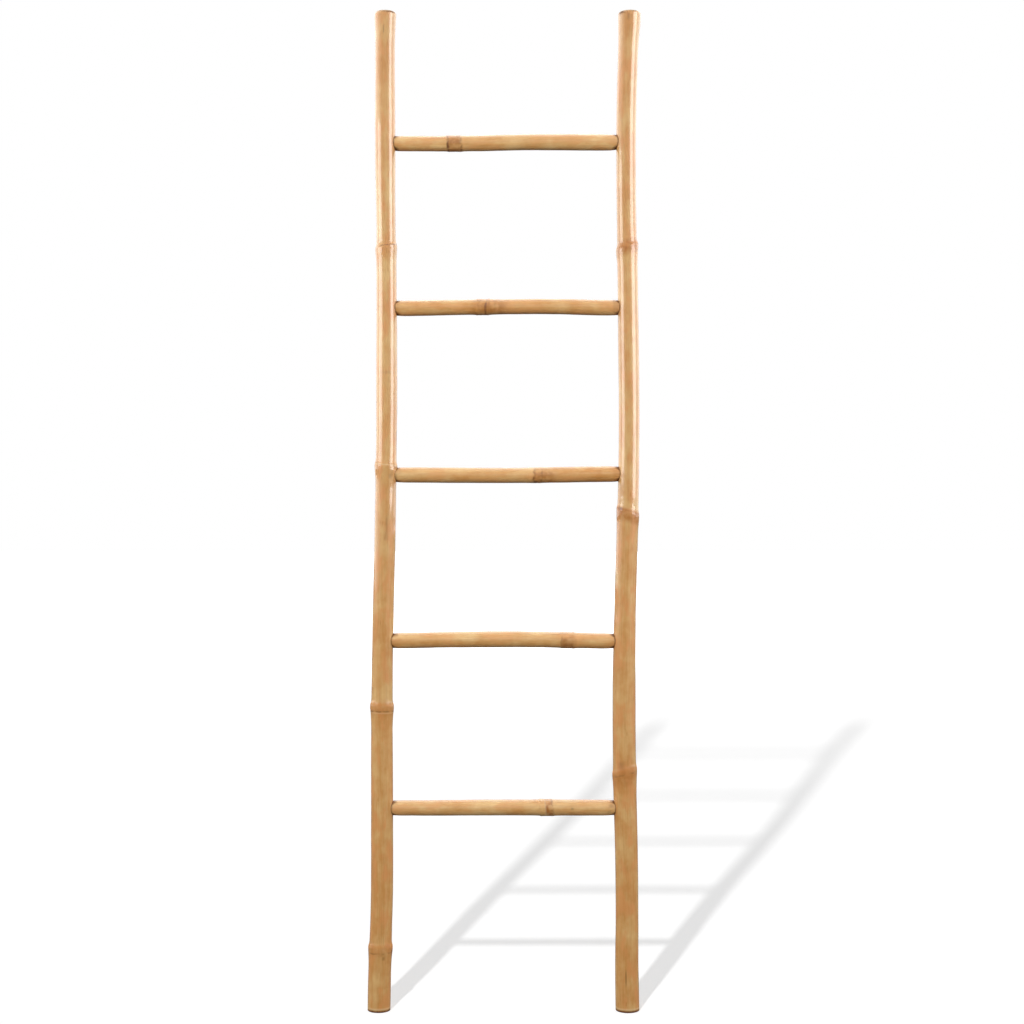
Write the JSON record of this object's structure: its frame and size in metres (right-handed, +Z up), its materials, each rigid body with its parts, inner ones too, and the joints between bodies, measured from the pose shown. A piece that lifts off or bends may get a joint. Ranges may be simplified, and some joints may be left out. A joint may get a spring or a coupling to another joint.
{
  "type": "blanket ladder",
  "caption": "Upright bamboo ladder for hanging blankets: two hollow round rails joined by thin round rungs let into drilled sockets.",
  "frame": {"origin": "on the floor plane, midway across the ladder's width and depth", "axes": "+Z up along the rails, +X to the right seen from the front, front facing -Y"},
  "size_m": [0.411, 0.0376, 1.5],
  "materials": {
    "rail_bamboo": "varnished bamboo skin",
    "rung_bamboo": "varnished bamboo skin",
    "peg_bamboo": "bare split bamboo"
  },
  "bodies": {
    "root": {"left_rail": "rail_bamboo", "right_rail": "rail_bamboo", "rung_1": "rung_bamboo", "rung_2": "rung_bamboo", "rung_3": "rung_bamboo", "rung_4": "rung_bamboo", "rung_5": "rung_bamboo", "peg_left_1": "peg_bamboo", "peg_left_2": "peg_bamboo", "peg_left_3": "peg_bamboo", "peg_left_4": "peg_bamboo", "peg_left_5": "peg_bamboo", "peg_right_1": "peg_bamboo", "peg_right_2": "peg_bamboo", "peg_right_3": "peg_bamboo", "peg_right_4": "peg_bamboo", "peg_right_5": "peg_bamboo"}
  },
  "joints": []
}
